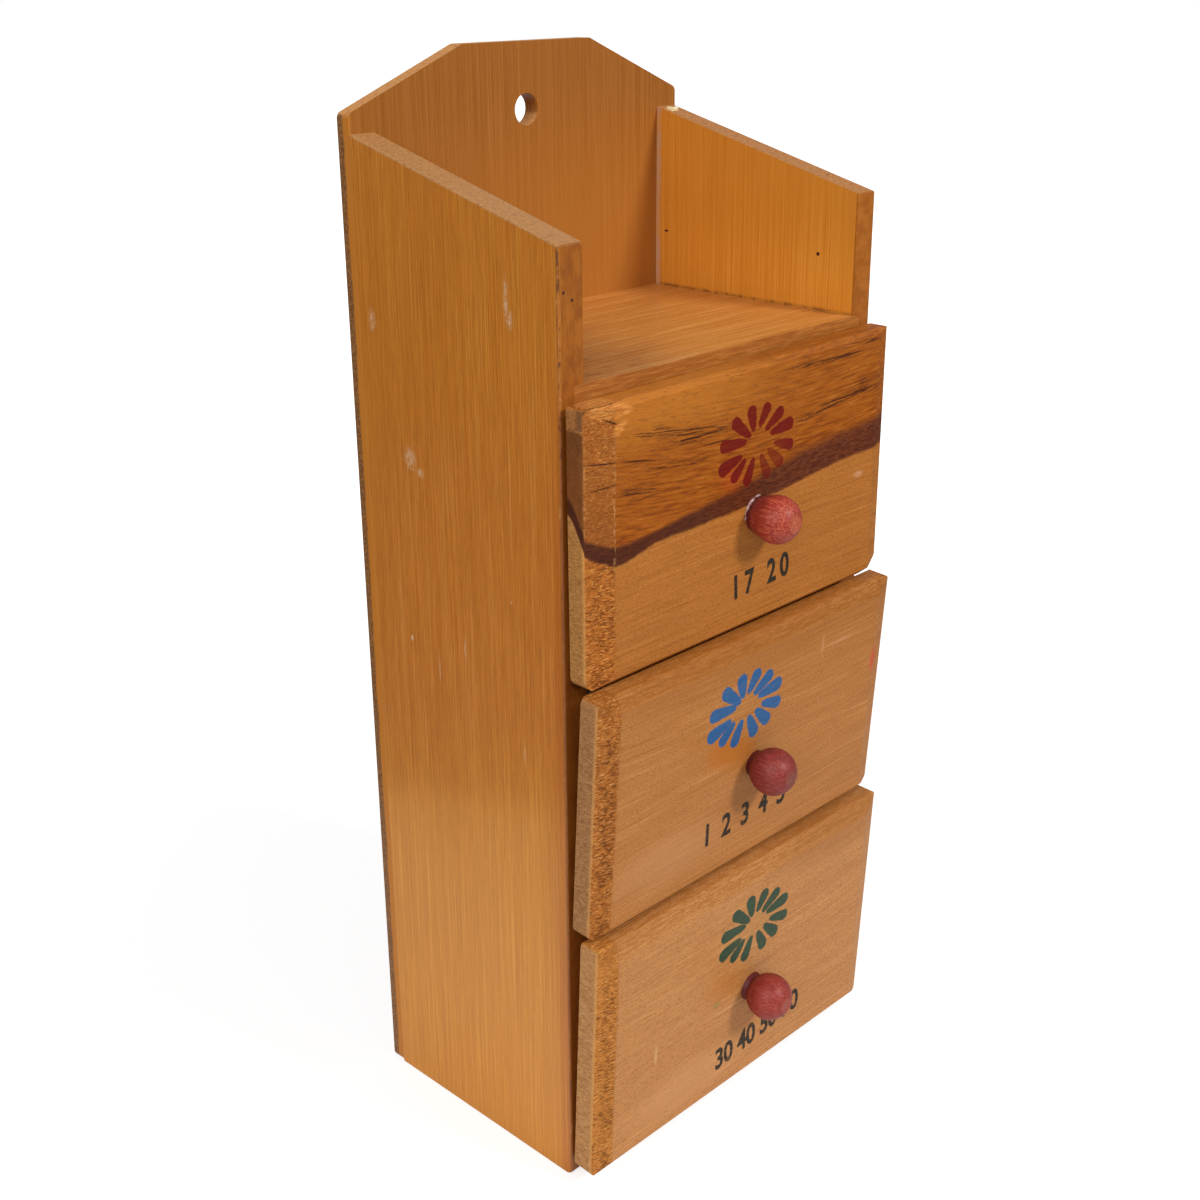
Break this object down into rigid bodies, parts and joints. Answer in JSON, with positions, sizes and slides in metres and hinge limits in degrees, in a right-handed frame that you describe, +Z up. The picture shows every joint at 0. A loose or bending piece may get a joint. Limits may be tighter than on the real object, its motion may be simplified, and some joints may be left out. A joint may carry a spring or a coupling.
{
  "type": "thread drawer cabinet",
  "caption": "Small wooden cabinet for sewing things: tall back with a hanging hole, open tray between sloping sides, drawers with painted daisies and red bead knobs.",
  "frame": {"origin": "on the ground under the middle of the carcass, between the sides' front edges and the back's rear face", "axes": "+X to the right as one faces the drawers, +Y to the back, +Z up; the drawers open towards -Y"},
  "size_m": [0.1026, 0.0865, 0.2502],
  "materials": {
    "varnished_wood": "satin",
    "painted_front": "satin",
    "drawer_wood": "matte",
    "red_knob": "satin",
    "steel": "satin"
  },
  "bodies": {
    "carcass": {"left_side": "varnished_wood", "right_side": "varnished_wood", "back_board": "varnished_wood", "tray_shelf": "varnished_wood", "upper_divider": "varnished_wood", "lower_divider": "varnished_wood", "bottom_board": "varnished_wood", "back_brads": "steel"},
    "top_drawer": {"top_drawer_front": "painted_front", "top_drawer_left_side": "drawer_wood", "top_drawer_right_side": "drawer_wood", "top_drawer_back": "drawer_wood", "top_drawer_floor": "drawer_wood", "top_drawer_knob": "red_knob", "top_drawer_brads": "steel"},
    "middle_drawer": {"middle_drawer_front": "painted_front", "middle_drawer_left_side": "drawer_wood", "middle_drawer_right_side": "drawer_wood", "middle_drawer_back": "drawer_wood", "middle_drawer_floor": "drawer_wood", "middle_drawer_knob": "red_knob", "middle_drawer_brads": "steel"},
    "bottom_drawer": {"bottom_drawer_front": "painted_front", "bottom_drawer_left_side": "drawer_wood", "bottom_drawer_right_side": "drawer_wood", "bottom_drawer_back": "drawer_wood", "bottom_drawer_floor": "drawer_wood", "bottom_drawer_knob": "red_knob", "bottom_drawer_brads": "steel"}
  },
  "joints": [
    {"name": "top_drawer_slide", "type": "slide", "parent": "carcass", "child": "top_drawer", "axis": [0, -1, 0], "range_m": [-0.0007, 0.045]},
    {"name": "middle_drawer_slide", "type": "slide", "parent": "carcass", "child": "middle_drawer", "axis": [0, -1, 0], "range_m": [-0.0009, 0.045]},
    {"name": "bottom_drawer_slide", "type": "slide", "parent": "carcass", "child": "bottom_drawer", "axis": [0, -1, 0], "range_m": [-0.0011, 0.045]}
  ]
}
